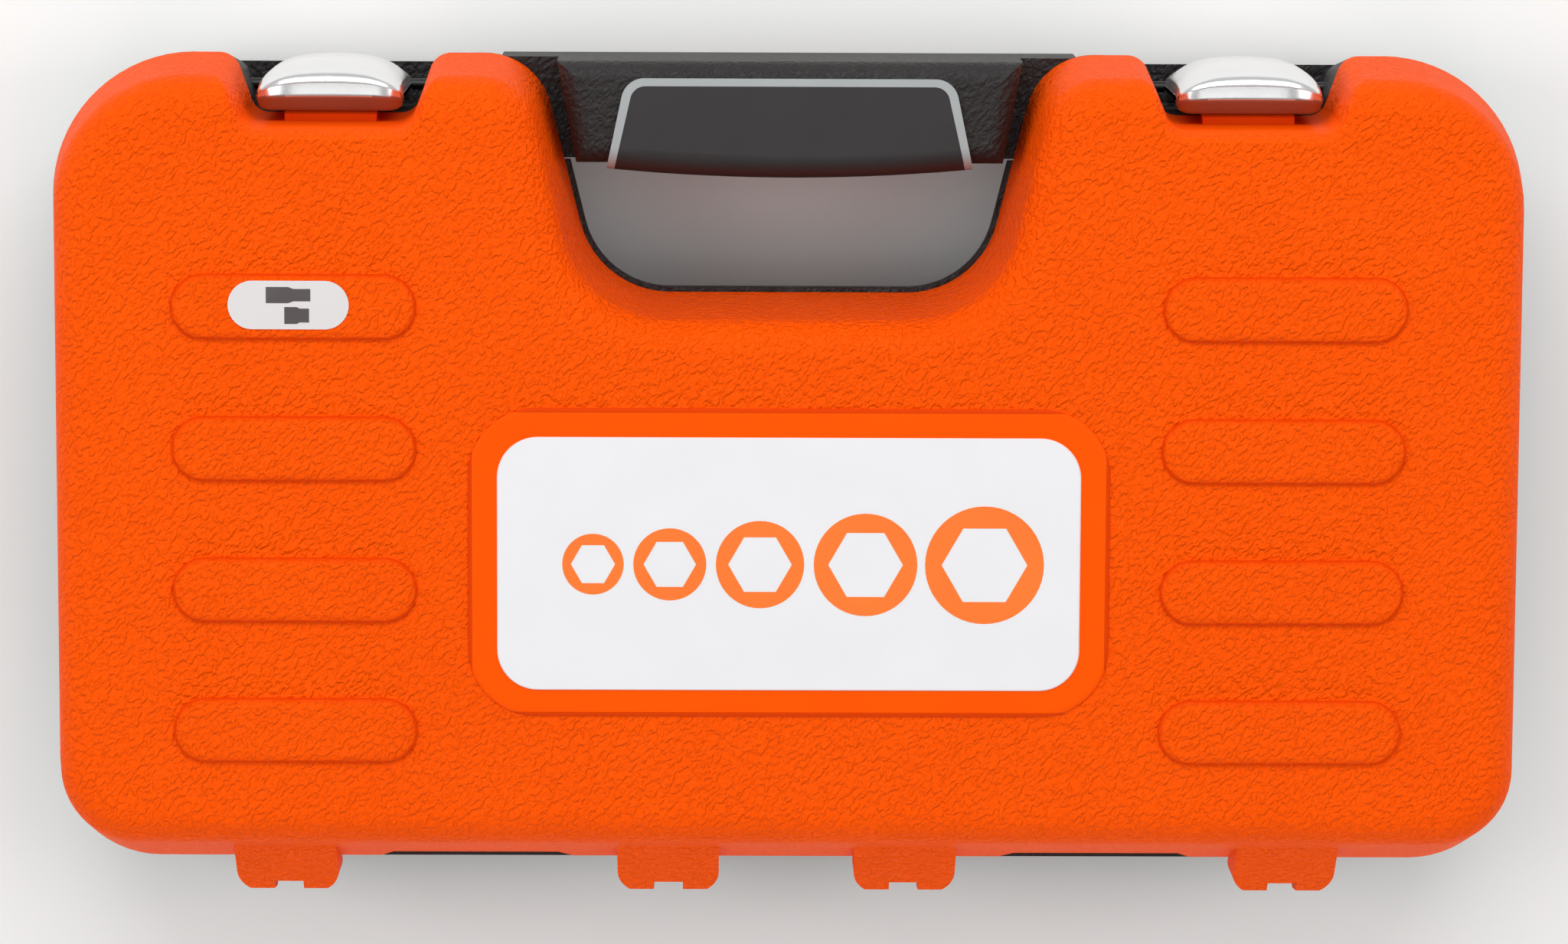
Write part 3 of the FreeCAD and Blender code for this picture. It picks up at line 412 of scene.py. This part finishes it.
def softened(points, reaches):
    """Line whose corners are rounded by short curves that start the given reach before each corner."""
    line = []
    for i, (corner, reach) in enumerate(zip(points, reaches)):
        if reach == 0.0:
            line.append(corner)
            continue
        middle = Vector(corner)
        start = middle + (Vector(points[i - 1]) - middle).normalized() * reach
        end = middle + (Vector(points[i + 1]) - middle).normalized() * reach
        for k in range(SOFT_STEPS + 1):
            u = k / SOFT_STEPS
            point = start * (1 - u) ** 2 + middle * (2 * u * (1 - u)) + end * u ** 2
            line.append((point.x, point.y))
    return line


def arc(centre, across, up, angles):
    """Points of an ellipse at angles given in degrees."""
    turns = [math.radians(degrees) for degrees in angles]
    return [(centre[0] + across * math.cos(turn), centre[1] + up * math.sin(turn)) for turn in turns]


def latch_profile():
    """Side view of a latch as (y, z), counter-clockwise."""
    dome_y = LATCH_OUT - DOME_DEEP
    dome_z = LATCH_NOSE - DOME_TALL
    lip = LATCH_NOSE - LIP_STEP
    tip = LATCH_NOSE - NOSE_DROP
    outside = softened([(LATCH_BACK, LATCH_FOOT + FOOT_RISE), (LATCH_OUT - FOOT_SLANT, LATCH_FOOT),
                        (LATCH_OUT, LATCH_BEND), (LATCH_OUT, dome_z)], OUTSIDE_SOFT)
    dome = arc((dome_y, dome_z), DOME_DEEP, DOME_TALL, DOME_ANGLES)
    nose = softened([(dome_y - LIP_START, lip), (LIP_END, lip), (LATCH_TIP, tip),
                     (LATCH_TIP, tip - NOSE_THICK), (ARM_INSIDE, ARM_TOP), (ARM_INSIDE, ARM_LOW),
                     BARREL_JOIN], NOSE_SOFT)
    barrel = arc(LATCH_PIVOT, LATCH_BARREL, LATCH_BARREL, BARREL_ANGLES)
    return outside + dome + nose + barrel


def rounding(distance, radius):
    """Drop of a quarter circle, from 0 before its start to 1 at its end."""
    share = min(max(distance / radius, 0.0), 1.0)
    return 1.0 - math.sqrt(1.0 - share * share)


def latch_section(profile, across, half):
    """Side view at one place across the latch, drawn in towards its ends."""
    ends = rounding(abs(across) - (half - END_ROUND), END_ROUND)
    foot = rounding(abs(across) - (half - FOOT_ROUND), FOOT_ROUND)
    pulled = CROWN * (across / half) ** 2 + END_DROP * ends
    section = []
    for y, z in profile:
        outward = max((y - LATCH_BACK) / (LATCH_OUT - LATCH_BACK), 0.0)
        lower = TOP_DROP * ends * max(z - TOP_FROM, 0.0) / (LATCH_NOSE - TOP_FROM)
        hook = FOOT_DROP * foot if y < LATCH_BACK and z > HOOK_LEVEL else 0.0
        section.append((y - pulled * outward + hook, z - lower))
    return section


def drawn_in(section, depth):
    """The section moved inwards by depth."""
    moved = []
    for i, (y, z) in enumerate(section):
        before = Vector(section[i - 1])
        after = Vector(section[(i + 1) % len(section)])
        along = (after - before).normalized()
        moved.append((y - along.y * depth, z + along.x * depth))
    return moved


def latch(name, body):
    """Cover in the shape of the whole latch, shown in place of the plainer one."""
    low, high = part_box(name)
    centre = (low[0] + high[0]) / 2
    half = (high[0] - low[0]) / 2 / MM
    profile = latch_profile()
    sections = [(-half, drawn_in(latch_section(profile, -half, half), EDGE_SOFT))]
    for i in range(LATCH_STATIONS):
        across = (half - EDGE_SOFT) * math.sin(math.pi * (i / (LATCH_STATIONS - 1) - 0.5))
        sections.append((across, latch_section(profile, across, half)))
    sections.append((half, drawn_in(latch_section(profile, half, half), EDGE_SOFT)))
    rings = []
    for across, section in sections:
        rings.append([(centre + across * MM, y * MM, z * MM) for y, z in section])
    points, faces = skin(rings)
    piece = added(name + "_cover", points, faces, [silver, nose_shade_metal], body)
    mesh = piece.data
    mesh.polygons.foreach_set("use_smooth", [True] * len(faces))
    mesh.set_sharp_from_angle(angle=SHARP)
    # the nose faces get the darker copy of the latch paint, a painted shade of the reflected notch
    for face in mesh.polygons:
        if face.center.y < NOSE_FROM * MM and face.center.z > NOSE_UNDER * MM:
            face.material_index = 1
    mesh.update()
    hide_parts(name)


latch("latch_left", "latch_left_body")
latch("latch_right", "latch_right_body")


# Printed marks: thin plates lying on the inlay and on the label

PRINT = 0.06 * MM
RING_STEPS = 48


def plate(name, outer, inner, level, material):
    """Flat plate, or a ring if there is an inner outline, which has as many points as the outer one."""
    count = len(outer)
    points = []
    faces = []
    for z in (level, level + PRINT):
        points += [(x, y, z) for x, y in outer]
        points += [(x, y, z) for x, y in inner]
    layer = len(points) // 2
    for i in range(count):
        j = (i + 1) % count
        faces.append((i, j, layer + j, layer + i))
        if inner:
            faces.append((layer + i, layer + j, layer + count + j, layer + count + i))
            faces.append((count + i, layer + count + i, layer + count + j, count + j))
            faces.append((j, i, count + i, count + j))
    if not inner:
        faces.append(tuple(range(layer, 2 * layer)))
        faces.append(tuple(reversed(range(layer))))
    added(name, points, faces, [material], "lid")


def hexagon(x, y, across_flats):
    points = []
    for i in range(RING_STEPS):
        turn = 2 * math.pi * i / RING_STEPS
        sector = (turn % (math.pi / 3)) - math.pi / 6
        radius = across_flats / 2 / math.cos(sector)
        points.append((x + radius * math.cos(turn), y + radius * math.sin(turn)))
    return points


def circle(x, y, radius):
    turns = [2 * math.pi * i / RING_STEPS for i in range(RING_STEPS)]
    return [(x + radius * math.cos(turn), y + radius * math.sin(turn)) for turn in turns]


# a graded row of plain socket end views: place along the badge and outer radius, in millimetres
BADGE_SOCKETS = [(-51.0, 8.0), (-31.0, 9.5), (-7.5, 11.5), (20.0, 13.5), (51.0, 15.5)]
FLATS_TO_RADIUS = 1.25
low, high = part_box("badge_inlay")
badge_x = (low[0] + high[0]) / 2
badge_y = (low[1] + high[1]) / 2
for index, (x, radius) in enumerate(BADGE_SOCKETS):
    centre = (badge_x + x * MM, badge_y)
    plate("badge_socket_%d" % index, circle(*centre, radius * MM),
          hexagon(*centre, radius * FLATS_TO_RADIUS * MM), high[2], print_orange)

# side views on the label: place from its middle, length, radius and neck radius, in millimetres
LABEL_SOCKETS = [("label_long_socket", 0.0, 2.6, 11.5, 2.1, 1.6),
                 ("label_short_socket", 2.2, -2.7, 6.4, 2.2, 1.8)]
NECK_START = 0.12


def silhouette(x, y, length, radius, neck):
    """Side view of one socket lying along X."""
    half = length / 2
    shoulder = NECK_START * length
    return [(x - half, y - radius), (x, y - radius), (x + shoulder, y - neck), (x + half, y - neck),
            (x + half, y + neck), (x + shoulder, y + neck), (x, y + radius), (x - half, y + radius)]


low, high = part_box("contents_label")
label_x = (low[0] + high[0]) / 2
label_y = (low[1] + high[1]) / 2
for name, x, y, length, radius, neck in LABEL_SOCKETS:
    outline = silhouette(label_x + x * MM, label_y + y * MM, length * MM, radius * MM, neck * MM)
    plate(name, outline, [], high[2], print_dark)


# Floor, lights and the camera of the photograph

FLOOR_SIZE = 12.0
FLOOR_LEVEL = -0.5 * MM
FLOOR_DARK = (0.88, 0.88, 0.87)
FLOOR_LIGHT = (0.91, 0.91, 0.9)
FLOOR_TONE_SCALE = 3.0
FLOOR_SHEEN_SCALE = 30.0
FLOOR_ROUGHNESS = 0.8


def floor_material():
    graph = Graph("pale floor")
    graph.colour(graph.tones(FLOOR_TONE_SCALE, FLOOR_DARK, FLOOR_LIGHT))
    graph.sheen(FLOOR_SHEEN_SCALE, FLOOR_ROUGHNESS, SHEEN_SPREAD)
    return graph.material


bpy.ops.mesh.primitive_plane_add(size=FLOOR_SIZE, location=(0.0, 0.0, FLOOR_LEVEL))
floor = bpy.context.object
floor.name = "floor"
floor.data.materials.append(floor_material())

# the white room is darker on the hinge side: direction in Y and strength, from the dark to the light end
ROOM_SHADE = {"From Min": -0.9, "From Max": 0.1, "To Min": 0.1, "To Max": 0.55}
world = bpy.data.worlds.new("studio")
scene.world = world
world.use_nodes = True
room = world.node_tree
background = room.nodes["Background"]
background.inputs["Color"].default_value = (1.0, 1.0, 1.0, 1.0)
direction = room.nodes.new("ShaderNodeTexCoord")
split = room.nodes.new("ShaderNodeSeparateXYZ")
shade = room.nodes.new("ShaderNodeMapRange")
for socket, value in ROOM_SHADE.items():
    shade.inputs[socket].default_value = value
room.links.new(direction.outputs["Generated"], split.inputs[0])
room.links.new(split.outputs["Y"], shade.inputs["Value"])
room.links.new(shade.outputs[0], background.inputs["Strength"])

# place, aim, width, height (metres) and power (watts)
LAMPS = {"key": ((0.0, 1.0, 0.9), (0.0, 0.05, 0.04), 1.6, 0.5, 9.6),
         "left": ((-1.0, 0.1, 0.8), (0.0, 0.0, 0.04), 0.5, 1.2, 4.6),
         "right": ((1.0, 0.1, 0.8), (0.0, 0.0, 0.04), 0.5, 1.2, 3.6),
         "front": ((0.0, -0.25, 1.8), (0.0, 0.0, 0.08), 0.9, 0.5, 1.1),
         "fill": ((0.0, -1.2, 0.3), (0.0, -0.1, 0.05), 1.6, 0.4, 6.5)}
for name, (place, aim, width, height, power) in LAMPS.items():
    lamp_data = bpy.data.lights.new(name, "AREA")
    lamp_data.shape = "RECTANGLE"
    lamp_data.size = width
    lamp_data.size_y = height
    lamp_data.energy = power
    lamp = bpy.data.objects.new(name, lamp_data)
    lamp.location = place
    lamp.rotation_euler = (Vector(aim) - Vector(place)).to_track_quat("-Z", "Y").to_euler()
    scene.collection.objects.link(lamp)

LENS_MM = 132.38
SENSOR_MM = 36.0
DISTANCE = 1.5
TARGET = Vector((-0.001346, 0.00605, 0.08))
PITCH = 0.135652026
YAW = 0.010635457
ROLL = -0.00321379665
turn = Matrix.Rotation(ROLL, 3, "Z") @ Matrix.Rotation(YAW, 3, "Y") @ Matrix.Rotation(PITCH, 3, "X")
view = turn.transposed().to_4x4()
view.translation = TARGET + turn[2] * DISTANCE
camera_data = bpy.data.cameras.new("photo camera")
camera_data.sensor_fit = "HORIZONTAL"
camera_data.sensor_width = SENSOR_MM
camera_data.lens = LENS_MM
camera = bpy.data.objects.new("photo camera", camera_data)
camera.matrix_world = view
scene.collection.objects.link(camera)
scene.camera = camera
